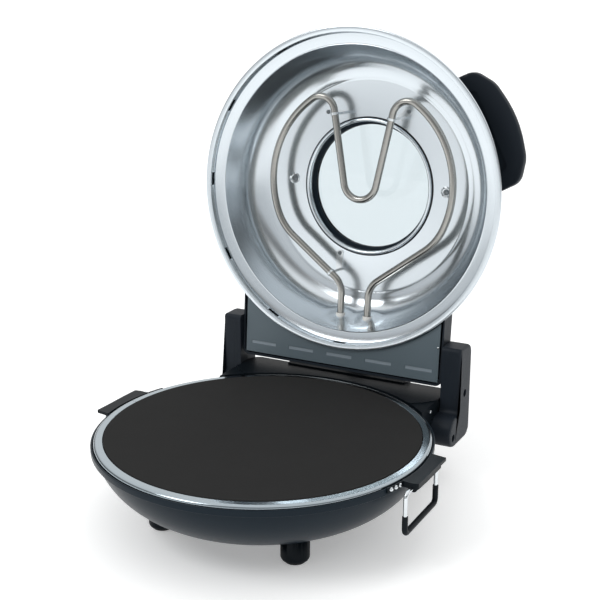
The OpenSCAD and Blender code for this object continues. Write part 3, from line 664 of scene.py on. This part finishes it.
def materials():
    """All finishes, made once from the colours and sizes of the scene."""
    m = MATERIALS
    if m:
        return m
    sizes = bpy.context.scene.pizza_maker_sizes
    tones = bpy.context.scene.pizza_maker_colours
    # Cordierite, pressed, fired and blackened: a dry, even face with fine grit
    m["stone"] = grained(
        "cordierite_blackened", tuple(tones.stone), rough=(0.75, 0.9), grain=sizes.stone_grain,
        depth=0.04 * MM, cloud=45 * MM, spread=0.05, **{"Specular IOR Level": 0.03}
    )
    # Silicone enamel sprayed on pressed steel: satin, with a faint orange peel about 2 mm wide
    m["enamel"] = grained(
        "silicone_enamel", tuple(tones.enamel), rough=(0.28, 0.33), grain=2.5 * MM,
        depth=0.004 * MM, cloud=110 * MM, spread=0.08, **{"Specular IOR Level": 0.1}
    )
    # Stainless steel spun to a dome: satin, its glints drawn into radial streaks
    m["dome"] = spun_steel(
        "spun_stainless", tuple(tones.stainless), LID, sizes.spin_line, rough=(0.18, 0.22), grip=0.5
    )
    # The same steel left brighter on the stone's ring
    m["ring"] = spun_steel(
        "polished_stainless", tuple(tones.polished), BASE, sizes.spin_line, rough=(0.12, 0.18),
        grip=0.4
    )
    # Stamped stainless strip, unspun: bright and even
    m["strip"] = grained(
        "stamped_stainless", linear("d3d8db"), rough=(0.2, 0.3), grain=0.5 * MM,
        depth=0.004 * MM, cloud=12 * MM, spread=0.05, Metallic=1.0
    )
    # Stainless element sheath after heating: dull warm silver with faint straw clouds
    m["sheath"] = grained(
        "heat_toned_sheath", tuple(tones.sheath), rough=(0.18, 0.26), grain=1.1 * MM,
        depth=0.003 * MM, cloud=30 * MM, spread=0.08, Metallic=1.0
    )
    # Glass-filled polyamide from an eroded mould: matte black with a fine even pebble
    m["plastic"] = grained(
        "polyamide_black", tuple(tones.plastic), rough=(0.38, 0.52), grain=sizes.plastic_grain,
        depth=0.015 * MM, cloud=70 * MM, spread=0.1, **{"Specular IOR Level": 0.12}
    )
    # Smooth phenolic: the same black with a softer shine and hardly any grain
    m["smooth_plastic"] = grained(
        "phenolic_black", linear("0f151a"), rough=(0.36, 0.42), grain=1.5 * MM,
        depth=0.003 * MM, cloud=50 * MM, spread=0.08, **{"Specular IOR Level": 0.1}
    )
    # Epoxy powder coat on sheet steel: soft satin with a low, broad texture
    m["panel"] = grained(
        "powder_coat", tuple(tones.panel), rough=(0.34, 0.46), grain=1.2 * MM,
        depth=0.03 * MM, cloud=120 * MM, spread=0.06, **{"Specular IOR Level": 0.4}
    )
    # The slots' bars: the same coat, lighter, as painted light showing through the slots
    m["grille"] = grained(
        "powder_coat_light", tuple(tones.grille), rough=(0.3, 0.4), grain=1.2 * MM,
        depth=0.02 * MM, cloud=120 * MM, spread=0.06, **{"Specular IOR Level": 0.4}
    )
    # Bright nickel plate: mirror-like, with small dull spots from handling
    m["chrome"] = grained(
        "nickel_plate", linear("d5dadd"), rough=(0.06, 0.2), grain=6 * MM,
        depth=0.002 * MM, cloud=14 * MM, spread=0.06, Metallic=1.0
    )
    # Zinc plate on screws and pins: greyer and duller, slightly blotched
    m["zinc"] = grained(
        "zinc_plate", linear("7d8285"), rough=(0.24, 0.4), grain=1.5 * MM,
        depth=0.004 * MM, cloud=6 * MM, spread=0.12, Metallic=1.0
    )
    # Moulded silicone rubber: very matte, with dusty clouds
    m["rubber"] = grained(
        "silicone_rubber", linear("111316"), rough=(0.65, 0.8), grain=0.7 * MM,
        depth=0.05 * MM, cloud=8 * MM, spread=0.25, IOR=1.42
    )
    # Steatite insulator: white, dense and slightly glossy, with faint grey specks
    m["ceramic"] = grained(
        "steatite", linear("e4e3df"), rough=(0.3, 0.45), grain=1.4 * MM,
        depth=0.01 * MM, cloud=1.6 * MM, spread=0.08, IOR=1.6
    )
    # Light table: matte acrylic lit softly from below, pale and nearly even
    m["floor"] = grained(
        "light_table_acrylic", tuple(tones.floor), rough=(0.8, 0.9), grain=3 * MM,
        depth=0.01 * MM, cloud=400 * MM, spread=0.01,
        **{"Specular IOR Level": 0.0, "Emission Color": (1, 1, 1, 1), "Emission Strength": 0.3}
    )
    # Tempered float glass: clear with a faint blue-grey body and clean reflections
    m["glass"] = clear(
        "tempered_glass", linear("ccd6da"), rough=(0.0, 0.05), ripple=40 * MM, depth=0.002 * MM,
        through=1.0, ior=1.52
    )
    # Polycarbonate lamp lenses: coloured, clear, with a fine ripple that scatters the glow
    for key, hex_colour in (("red", "b3261b"), ("green", "2f8a3f")):
        m[key + "_lens"] = clear(
            "lens_" + key, linear(hex_colour), rough=(0.1, 0.2), ripple=1.2 * MM,
            depth=0.08 * MM, through=0.4, ior=1.58
        )
    return m


def screw_head(name, radius, height, material):
    """A pan head with a cross recess, its seat at the origin."""
    crown, half_slot = 0.62 * radius, 0.13 * radius
    section = [(0, 0), (radius, 0), (radius, 0.35 * height), (crown, height), (0, height)]
    head = turned(name, eased(section, 0.3 * radius), Matrix(), material, 40)
    arm = [(crown, -half_slot), (crown, half_slot), (half_slot, half_slot)]
    cross = []
    for k in range(4):
        c, s = round(math.cos(k * math.pi / 2)), round(math.sin(k * math.pi / 2))
        cross += [(x * c - y * s, x * s + y * c) for x, y in arm]
    recess = piece(name + "_recess", prism(cross, 0.45 * height, 2 * height), Matrix(), material)
    return cut(head, recess, material)


# Base


class PIZZA_OT_stone(bpy.types.Operator):
    """Baking stone with softened edges"""

    bl_idname = "pizza.stone"
    bl_label = "Baking stone"

    def execute(self, context):
        radius, thick, softness = 152.5, 12, 1.2
        outline = [(0, -thick), (radius, -thick), (radius, 0), (0, 0)]
        profile = eased(outline, softness, 5)
        stone = turned("baking_stone", profile, BASE, materials()["stone"])
        standing_for(stone, "base", "stone", "pizza_stone")
        return {"FINISHED"}


class PIZZA_OT_bowl(bpy.types.Operator):
    """Enamelled bowl with its rim band, and the pan and element inside"""

    bl_idname = "pizza.bowl"
    bl_label = "Base bowl"

    def execute(self, context):
        m = materials()
        sheet, bottom, lip = 1.2, -67.5, (160.6, -11.6)
        side = curved(lip, (152.1, -40), (128.6, -61), (95, bottom), 48)
        band = eased(
            [(162.5, -4.4), (163.1, -3.9), (164.5, -3.9), (164.5, -10), (161, -10.5)], 0.6, 3
        )
        inner = beside([lip] + side, -sheet)
        profile = (
            band[4:-4]
            + [lip]
            + side
            + [(0, bottom), (0, bottom + sheet)]
            + inner[::-1]
            + [(159.4, -9), (162.5, -9), (162.5, -4.6)]
        )
        bowl = turned("base_bowl_enamelled", profile, BASE, m["enamel"])
        standing_for(bowl, "base", "bowl_paint", "base_bowl")
        carried("base_reflector", m["strip"])
        carried("lower_heating_element", m["sheath"], degrees=50)
        carried("lower_element_clips", m["strip"])
        return {"FINISHED"}


class PIZZA_OT_ring(bpy.types.Operator):
    """Bright ring that holds the stone, split at one side"""

    bl_idname = "pizza.ring"
    bl_label = "Stone ring"

    def execute(self, context):
        shoulder = (158.6, -4.3)
        outer = arc(shoulder, 3.4, 90, 0, 14)
        inner = arc(shoulder, 2.5, 0, 90, 14)
        profile = (
            [(146.5, -12), (153, -12), (153, -1.2), (153.3, -0.9)]
            + outer
            + [(162, -9), (161.1, -9)]
            + inner
            + [(153.9, -1.8), (153.9, -12.9), (146.5, -12.9)]
        )
        # The split, in degrees round the ring
        gap, seam = 0.19, 177.1
        ring = turned("stone_ring_bright", profile, BASE, materials()["ring"], gap=gap, start=seam)
        standing_for(ring, "base", "ring_steel", "stone_ring")
        return {"FINISHED"}


class PIZZA_OT_feet(bpy.types.Operator):
    """Feet, pads and their screws"""

    bl_idname = "pizza.feet"
    bl_label = "Feet"

    def execute(self, context):
        m = materials()
        for name in ("front_left", "front_right", "rear_left", "rear_right"):
            carried(name + "_foot", m["smooth_plastic"], degrees=40)
        carried("foot_pads", m["rubber"], 0.3 * MM)
        carried("foot_screws", m["zinc"])
        return {"FINISHED"}


class PIZZA_OT_housing(bpy.types.Operator):
    """Rear housing with its cover, terminals and cord bush"""

    bl_idname = "pizza.housing"
    bl_label = "Rear housing"

    def execute(self, context):
        m = materials()
        edge = context.scene.pizza_maker_sizes.plastic_edge
        carried("rear_housing", m["smooth_plastic"], edge * 0.6)
        carried("housing_cover", m["plastic"], edge * 0.4)
        carried("terminal_block", m["ceramic"], 0.2 * MM)
        # A rivet head on the side of the housing, by the right arm
        side = BASE @ at(117.9, 138.1, -8.2) @ about("Y", 90)
        rivet = [(0, 0), (2.1, 0), (2, 0.6), (1.2, 1.1), (0, 1.2)]
        rivet = turned("housing_rivet", eased(rivet, 0.3), side, m["chrome"], 32)
        standing_for(rivet, "base", "fastener_steel")
        carried("cord_gland", m["rubber"], 0.4 * MM)
        return {"FINISHED"}


class PIZZA_OT_arms(bpy.types.Operator):
    """Hinge arms with their covers, pins and screws"""

    bl_idname = "pizza.arms"
    bl_label = "Hinge arms"

    def execute(self, context):
        m = materials()
        edge = context.scene.pizza_maker_sizes.plastic_edge
        for side in ("left", "right"):
            carried(side + "_arm", m["plastic"], edge * 0.5)
            carried(side + "_arm_cover", m["plastic"], edge * 0.4, 32)
            carried(side + "_pivot_pin", m["zinc"], 0.2 * MM)
        carried("arm_bolts", m["zinc"], 0.2 * MM)
        carried("arm_screws", m["zinc"], 0.2 * MM)
        return {"FINISHED"}


class PIZZA_OT_bails(bpy.types.Operator):
    """Brackets, their rivets and the two carrying bails"""

    bl_idname = "pizza.bails"
    bl_label = "Carrying bails"

    def execute(self, context):
        m = materials()
        sizes = context.scene.pizza_maker_sizes
        # The wire lies beside the bowl: two ends in the bracket's ears, two legs and a bar
        across, eye, height = 170, -30, -8
        front, rear, bend, drop = -52, 20.5, 5, 38
        bar = [rear - front - 2 * bend]
        leg = [drop - 2 * bend]
        corner = [bend, 90]
        front_end, rear_end = [eye - front - bend], [5]
        bends = [front_end, corner, leg, corner, bar, corner, leg, corner, rear_end]
        degrees_per_step = 9
        wire = along_steps(bends, degrees_per_step)
        wire = [(across, eye - x, height - y) for x, y in wire]
        grip_leg = 12
        grip_top = height - drop + bend + grip_leg
        grip = along_steps([[grip_leg], corner, bar, corner, [grip_leg]], degrees_per_step)
        grip = [(across, front + y, grip_top - x) for x, y in grip]
        for name, turn in (("right", 0), ("left", 180)):
            place = BASE @ about("Z", turn)
            obj = tube(name + "_bail_wire", wire, place, sizes.wire, m["chrome"])
            standing_for(obj, name + "_bail", "chrome_wire", name + "_bail")
            obj = tube(name + "_bail_grip", grip, place, sizes.sleeve, m["smooth_plastic"])
            standing_for(obj, name + "_bail", "housing_plastic", name + "_bail_sleeve")
            carried(name + "_bracket", m["smooth_plastic"], sizes.plastic_edge * 0.6)
        carried("bracket_rivets", m["chrome"])
        return {"FINISHED"}


# Lid


class PIZZA_OT_domes(bpy.types.Operator):
    """Enamelled outer dome and spun inner dome with its hem slots and bosses"""

    bl_idname = "pizza.domes"
    bl_label = "Lid domes"

    def execute(self, context):
        m = materials()
        foot, top, hole, sheet = (168.3, 2.4), 70, 67, 1.0
        side = [foot] + curved(foot, (158, 26), (146, 66), (108, top), 56)
        profile = side + [(hole, top), (hole, top - sheet)] + beside(side, sheet)[::-1]
        shell = turned("lid_outer_dome", profile, LID, m["enamel"])
        standing_for(shell, "lid", "bowl_paint", "lid_shell")
        hem = (
            arc((167.7, 1.5), 1.5, 40, -90, 10)
            + [(163.8, 0.2), (163.2, 0.45), (162.8, 1.2), (162.2, 7.2), (161.9, 8.0)]
            + [(160.8, 8.6), (152.4, 11.5), (151.4, 11.6), (150.9, 11.4)]
        )
        wall = curved((150.8, 12.2), (146, 34), (141, 53), (121, 58.4), 56)
        roof = [(118, 58.9), (116.4, 59.5), (115.4, 59.9), (114.4, ROOF), (71.5, ROOF)]
        liner = 0.9
        inner = turned("lid_inner_dome", pressed(hem + wall + roof, -liner), LID, m["dome"])
        # A boss is pressed inward round each end of the element
        boss_back, boss_r = 144, 20
        inward = LID.to_3x3() @ Vector((0, -1, 0.12))
        for x in (-TERMINAL, TERMINAL):
            centre = LID @ (Vector((x, boss_back, ELEMENT)) * MM)
            swelled(inner, centre, inward, boss_r * MM, context.scene.pizza_maker_sizes.boss)
        # Slots go through the hem's flange at even steps
        slots, slot_r, slot_z = 12, 162, 4
        deep, wide, below, above = 8, 14, 2.1, 2.3
        block = [(-deep / 2, -wide / 2), (deep / 2, -wide / 2), (deep / 2, wide / 2)]
        block = prism(eased(block + [(-deep / 2, wide / 2)], 0.9), -below, above)
        block = piece("slot_block", block, Matrix(), m["dome"])
        places = [
            LID @ about("Z", 360 / slots * i) @ at(slot_r, 0, slot_z) for i in range(slots)
        ]
        inner = cut(inner, copies("hem_slots", block, places, m["dome"]), m["dome"])
        standing_for(inner, "lid", "inner_steel", "lid_reflector")
        # Dished washers and cross-headed screws hold the dome's roof
        dish = eased([(2, 0), (5.9, 0), (5.9, 1.3), (5.3, 1.6), (4.2, 0.5), (2, 0.5)], 0.2, 2)
        screw_x, screw_y = 90, -2.2
        seats = [LID @ at(x, screw_y, ROOF) @ about("X", 180) for x in (-screw_x, screw_x)]
        washer = turned("washer", dish, Matrix(), m["chrome"], 48)
        washers = copies("roof_washers", washer, seats, m["chrome"])
        standing_for(washers, "lid", "fastener_steel", "reflector_screws")
        head = screw_head("roof_head", 3.2, 2.2, m["zinc"])
        heads = [seat @ at(0, 0, 0.4) for seat in seats]
        standing_for(copies("roof_screws", head, heads, m["zinc"]), "lid", "fastener_steel")
        return {"FINISHED"}


class PIZZA_OT_window(bpy.types.Operator):
    """Window glass, its bead, gasket and outer bezel"""

    bl_idname = "pizza.window"
    bl_label = "Window"

    def execute(self, context):
        m = materials()
        bead = (
            [(70.2, 69), (70.2, 59.4)]
            + arc((72.2, 59.4), 2, 180, 360, 14)
            + [(74.2, ROOF), (71.1, ROOF), (71.1, 69)]
        )
        ring = turned("window_bead", bead, LID, m["dome"])
        standing_for(ring, "lid", "inner_steel", "window_ring")
        pane = eased([(0, 70), (72, 70), (72, 74), (0, 74)], 0.8)
        glass = turned("window_pane", pane, LID, m["glass"])
        standing_for(glass, "lid", "glass", "window_glass")
        section = eased(
            [(72.1, 70), (82, 70), (84, 71), (83, 74), (79, 76.6)]
            + [(71, 77), (67, 76), (66.4, 75), (67, 74), (72.1, 74)],
            1.4,
            4,
        )
        bezel = turned("window_bezel_moulded", section, LID, m["plastic"])
        standing_for(bezel, "lid", "housing_plastic", "window_bezel")
        carried("window_gasket", m["rubber"])
        return {"FINISHED"}


def element_line():
    """The upper element's line, and the tube's spot and heading at each of its three clips."""
    # A bow on each side of the window, with a tighter shoulder towards the hinge
    middle, bow, bow_end = np.array((0, -6)), 105, 235
    shoulder, shoulder_end = 60, 158
    # From each end a bend leads into a slanting run to the shoulder
    start, bend, turn = 153.5, 24, 53
    # A narrow loop reaches from the front to the middle: its corners, lean and tip
    corner, leg_turn, tip = 17, 79, 19
    bow_start = 180 - turn
    cosine, sine = polar(1, turn)
    foot = middle + polar(bow - shoulder, shoulder_end) + polar(shoulder, bow_start)
    run = (-foot[0] - TERMINAL - bend * (1 - cosine)) / sine
    bend_y = foot[1] + run * cosine + bend * sine
    lean_x, lean_y = polar(1, leg_turn)
    loop_start = middle + polar(bow - corner, bow_end) + polar(corner, leg_turn - 90)
    leg = (-loop_start[0] - tip * lean_y) / lean_x
    half = [
        [start - bend_y],
        [bend, -turn],
        [run],
        [shoulder, shoulder_end - bow_start],
        [bow, bow_end - shoulder_end],
        [corner, leg_turn + 270 - bow_end],
        [leg],
    ]
    flat = along_steps(half + [[tip, -2 * leg_turn]] + half[::-1])
    line = [(y - TERMINAL, start - x, ELEMENT) for x, y in flat]
    # The clips hold the loop's legs, 4 and 6 mm along them, and the left run, 60 mm along it
    left = loop_start + polar(4, leg_turn)
    right = (loop_start + polar(6, leg_turn)) * (-1, 1)
    lower = foot + polar(60, 90 - turn)
    return line, ((left, leg_turn), (right, 180 - leg_turn), (lower, 90 - turn))


def clip(spot, heading, tab_turn, reach, wide, radius):
    """A clip's two solids, an eye with its strap and a flat tab, and the seat of its screw."""
    eye = [(0, ROOF - 0.5), (0, ELEMENT + 5)] + arc((0, ELEMENT), radius, 86, -250, 34)
    inner, outer, side, tab_low = -1.5, reach + 3, wide / 2, ROOF - 0.9
    tab = eased([(inner, -side), (outer, -side), (outer, side), (inner, side)], wide / 2.2, 5)
    centre = Matrix.Translation((*spot, 0))
    stand = centre @ about("Z", heading - 90)
    lie = about("Z", tab_turn)
    strap = moved(strip(eye, 2.6, 0.7), stand)
    solids = [strap, moved(prism(tab, tab_low, ROOF - 0.05), centre @ lie)]
    seat = LID @ at(*spot, 0) @ lie @ at(reach, 0, tab_low) @ about("X", 180)
    return solids, seat


class PIZZA_OT_elements(bpy.types.Operator):
    """Upper heating element with its clips and bushings"""

    bl_idname = "pizza.elements"
    bl_label = "Heating elements"

    def execute(self, context):
        m = materials()
        sizes = context.scene.pizza_maker_sizes
        line, spots = element_line()
        obj = tube("upper_element_tube", line, LID, sizes.tube, m["sheath"], 28)
        standing_for(obj, "lid", "element", "upper_heating_element")
        # Each clip's tab: its heading, how far out its screw is, and its width
        tabs = ((180, 18, 4), (-38, 13, 7), (-90, 19, 8))
        eye_r = sizes.tube / MM + 0.5
        solids, seats = [], []
        for spot, tab in zip(spots, tabs):
            pair, seat = clip(*spot, *tab, eye_r)
            solids += pair
            seats.append(seat)
        clips = smoothed(piece("element_clips_bent", together(solids), LID, m["strip"]))
        standing_for(clips, "lid", "clip_steel", "upper_element_clips")
        head = screw_head("clip_head", 2.3, 1.6, m["zinc"])
        standing_for(copies("clip_screws", head, seats, m["zinc"]), "lid", "fastener_steel")
        collar = eased([(3.85, 0), (4.6, 0), (4.9, 0.8), (4.9, 6), (3.85, 6)], 0.3)
        collar = turned("collar", collar, Matrix(), m["ceramic"], 40)
        collar_y = 138
        ends = (-TERMINAL, TERMINAL)
        seats = [LID @ at(x, collar_y, ELEMENT) @ about("X", -90) for x in ends]
        bushings = copies("bushing_collars", collar, seats, m["ceramic"])
        standing_for(bushings, "lid", "insulator", "element_bushings")
        return {"FINISHED"}


class PIZZA_OT_lid_box(bpy.types.Operator):
    """Rear box of the lid with its slotted panel, knob and lamps"""

    bl_idname = "pizza.lid_box"
    bl_label = "Lid box"

    def execute(self, context):
        m = materials()
        edge = context.scene.pizza_maker_sizes.plastic_edge
        carried("lid_box", m["plastic"], edge * 0.5)
        carried("lid_box_panel", m["panel"], 0.3 * MM)
        # A lighter bar lies in each of the panel's five slots, painted light showing through them
        half, low, high, pitch = 14.9, 0.1, 3.4, 46
        outline = eased([(-half, low), (half, low), (half, high), (-half, high)], 0.5)
        bar = piece("bar", prism(outline, 0.5, 1.45), Matrix(), m["grille"])
        places = [LID @ at(pitch * i, 175.4, 3.5) for i in range(-2, 3)]
        bars = copies("panel_bars", bar, places, m["grille"])
        standing_for(bars, "lid", "panel_paint")
        # A small rivet holds the panel's corner
        corner = BASE @ at(112.4, 168.2, 50.3) @ about("X", 90)
        rivet = [(0, -0.6), (1.3, -0.6), (1.3, 0.2), (0.8, 0.6), (0, 0.7)]
        rivet = turned("panel_rivet", eased(rivet, 0.2), corner, m["chrome"], 32)
        standing_for(rivet, "lid", "fastener_steel")
        carried("thermostat", m["zinc"])
        carried("knob_shaft", m["zinc"])
        carried("control_knob", m["smooth_plastic"], 0.4 * MM)
        lamps = carried("pilot_lenses", m["red_lens"])
        lamps.data.materials.append(m["green_lens"])
        for face in lamps.data.polygons:
            if lamps.data.vertices[face.vertices[0]].co.x > 0:
                face.material_index = 1
        return {"FINISHED"}


class PIZZA_OT_handles(bpy.types.Operator):
    """Lid handles and their screws"""

    bl_idname = "pizza.handles"
    bl_label = "Lid handles"

    def execute(self, context):
        m = materials()
        for side in ("left", "right"):
            carried(side + "_lid_handle", m["plastic"], 0.4 * MM, 28)
        carried("handle_screws", m["zinc"])
        return {"FINISHED"}


# Stage


def key_light():
    """A large soft lamp from the front left."""
    spot, target, size, power = Vector((-1.3, -1.9, 2.3)), Vector((0, 0.05, 0.2)), 1.2, 26
    data = bpy.data.lights.new("key_light", "AREA")
    data.size = size
    data.energy = power
    lamp = placed("key_light", data)
    lamp.location = spot
    lamp.rotation_euler = (target - spot).to_track_quat("-Z", "Y").to_euler()


def studio_world():
    """A bright ceiling over dim walls: even light from above, and darks in the steel."""
    lean, strength = 0.4, 0.84
    below, above = (0.84, 0.86, 0.88, 1), (1.4, 1.4, 1.4, 1)
    walls = ((0.15, 0.3), (0.3, 0.22), (0.62, 1.3))
    world = bpy.data.worlds.new("studio")
    world.use_nodes = True
    tree = world.node_tree
    tree.nodes.clear()
    place = add(tree, "ShaderNodeTexCoord")
    split = add(tree, "ShaderNodeSeparateXYZ", wires={"Vector": (place, "Generated")})
    # The wall behind the piece is lighter than the room in front of it
    rise = add(
        tree, "ShaderNodeMath", values={1: lean}, wires={0: (split, "Y"), 2: (split, "Z")},
        operation="MULTIPLY_ADD",
    )
    ramp = add(tree, "ShaderNodeValToRGB", wires={"Fac": (rise, "Value")})
    stops = ramp.color_ramp.elements
    stops[0].position, stops[0].color = 0.0, below
    stops[1].position, stops[1].color = 1.0, above
    for height, tone in walls:
        stops.new(height).color = (tone, tone, tone, 1)
    light = add(
        tree, "ShaderNodeBackground", values={"Strength": strength},
        wires={"Color": (ramp, "Color")},
    )
    add(tree, "ShaderNodeOutputWorld", wires={"Surface": (light, "Background")})
    return world


def fitted_camera():
    """The camera as it was fitted to the object's outlines, looking down from the right."""
    azimuth, elevation = 27.55, 16.38
    place = Vector((523.3, -926.6, 443.2))
    focal_px, picture_px, sensor_mm = 1190.16, 600, 36
    data = bpy.data.cameras.new("camera")
    data.sensor_width = sensor_mm
    data.lens = focal_px / picture_px * sensor_mm
    camera = placed("camera", data)
    camera.location = BASE @ (place * MM)
    camera.rotation_euler = (math.radians(90 - elevation), 0, math.radians(azimuth))
    return camera


class PIZZA_OT_stage(bpy.types.Operator):
    """Pale floor, soft studio light and the camera"""

    bl_idname = "pizza.stage"
    bl_label = "Stage"

    def execute(self, context):
        scene = context.scene
        scene.view_settings.view_transform = "Standard"
        bpy.ops.mesh.primitive_circle_add(vertices=96, radius=30, fill_type="NGON")
        floor = context.object
        floor.name = "studio_floor"
        floor.data.materials.append(materials()["floor"])
        key_light()
        scene.world = studio_world()
        scene.camera = fitted_camera()
        return {"FINISHED"}


class PIZZA_PT_panel(bpy.types.Panel):
    """Lists the sizes, the colours and the pieces"""

    bl_idname = "PIZZA_PT_panel"
    bl_label = "Electric pizza maker"
    bl_space_type = "VIEW_3D"
    bl_region_type = "UI"
    bl_category = "Pizza maker"

    def draw(self, context):
        layout = self.layout
        for group in (context.scene.pizza_maker_sizes, context.scene.pizza_maker_colours):
            column = layout.column(align=True)
            for name in group.__annotations__:
                column.prop(group, name)
        column = layout.column(align=True)
        for operator in OPERATORS:
            column.operator(operator.bl_idname)


OPERATORS = (
    PIZZA_OT_stage,
    PIZZA_OT_stone,
    PIZZA_OT_ring,
    PIZZA_OT_bowl,
    PIZZA_OT_feet,
    PIZZA_OT_housing,
    PIZZA_OT_arms,
    PIZZA_OT_bails,
    PIZZA_OT_domes,
    PIZZA_OT_window,
    PIZZA_OT_elements,
    PIZZA_OT_lid_box,
    PIZZA_OT_handles,
)
CLASSES = (PizzaMakerSizes, PizzaMakerColours, *OPERATORS, PIZZA_PT_panel)


def register():
    """Adds the classes and the scene's two property groups."""
    for item in CLASSES:
        bpy.utils.register_class(item)
    bpy.types.Scene.pizza_maker_sizes = bpy.props.PointerProperty(type=PizzaMakerSizes)
    bpy.types.Scene.pizza_maker_colours = bpy.props.PointerProperty(type=PizzaMakerColours)


def unregister():
    """Takes them away again."""
    del bpy.types.Scene.pizza_maker_colours
    del bpy.types.Scene.pizza_maker_sizes
    for item in reversed(CLASSES):
        bpy.utils.unregister_class(item)


def main():
    """Builds every piece in order."""
    for old in list(bpy.context.scene.objects):
        if old.name in ("Cube", "Light", "Camera"):
            bpy.data.objects.remove(old)
    register()
    for operator in OPERATORS:
        group, name = operator.bl_idname.split(".")
        getattr(getattr(bpy.ops, group), name)()
    bpy.context.view_layer.update()


if __name__ == "__main__":
    main()
